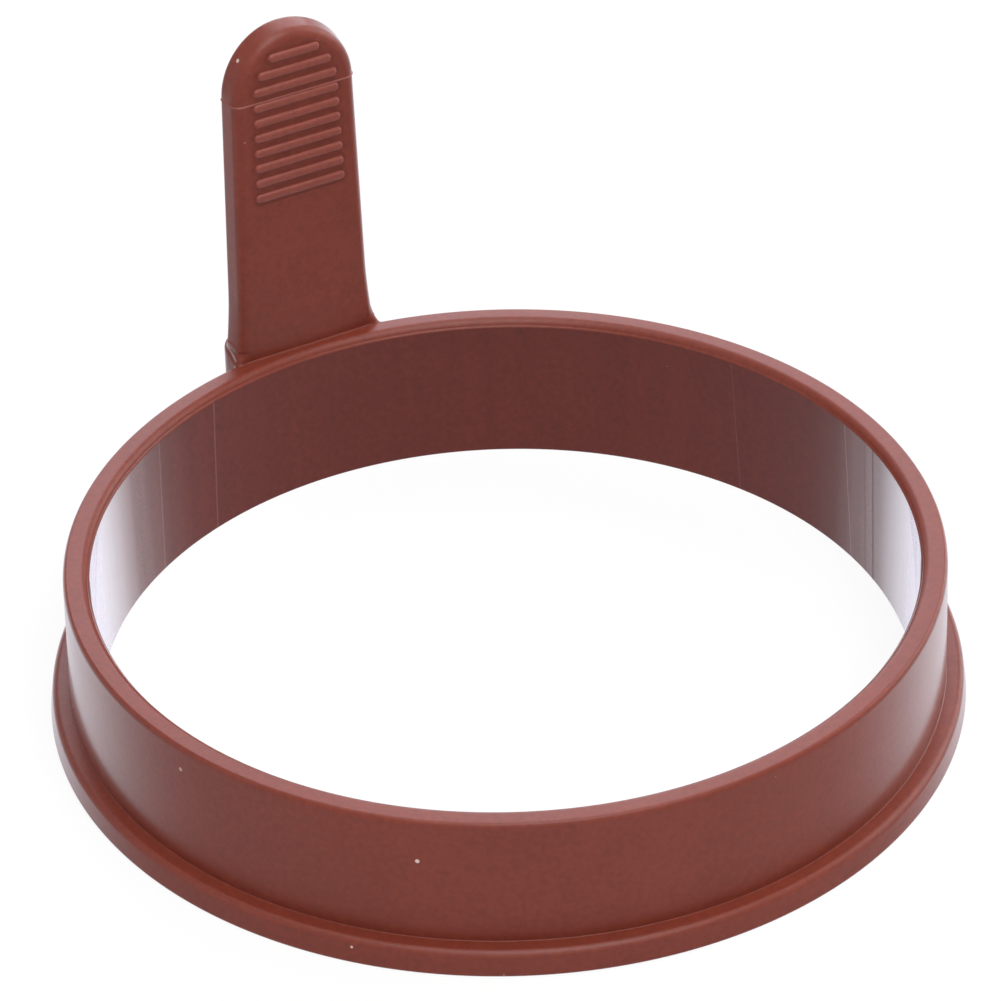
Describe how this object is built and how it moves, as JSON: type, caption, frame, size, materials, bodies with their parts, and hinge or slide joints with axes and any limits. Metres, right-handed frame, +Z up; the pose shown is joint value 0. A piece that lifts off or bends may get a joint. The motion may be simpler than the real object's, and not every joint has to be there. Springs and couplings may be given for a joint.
{
  "type": "egg ring",
  "caption": "Round silicone egg ring with a foot flange, a thin upright wall and a ribbed upright tab handle that flexes at its foot.",
  "frame": {"origin": "on the ring's axis, at the flat face that lies on the pan", "axes": "+Z up along the ring's axis, +Y towards the handle, +X to the right seen from the front of the handle"},
  "size_m": [0.1, 0.1022, 0.0589],
  "materials": {
    "silicone": "satin, smooth as moulded"
  },
  "bodies": {
    "ring": {"ring": "silicone", "handle_root": "silicone"},
    "handle": {"handle": "silicone"}
  },
  "joints": [
    {"name": "handle_fold", "type": "hinge", "parent": "ring", "child": "handle", "pos_m": [0, 0.04779, 0.022], "axis": [1, 0, 0], "range_deg": [-90, 90], "stiffness_Nm_per_rad": 0.032, "deforming": ["handle_root"]}
  ]
}
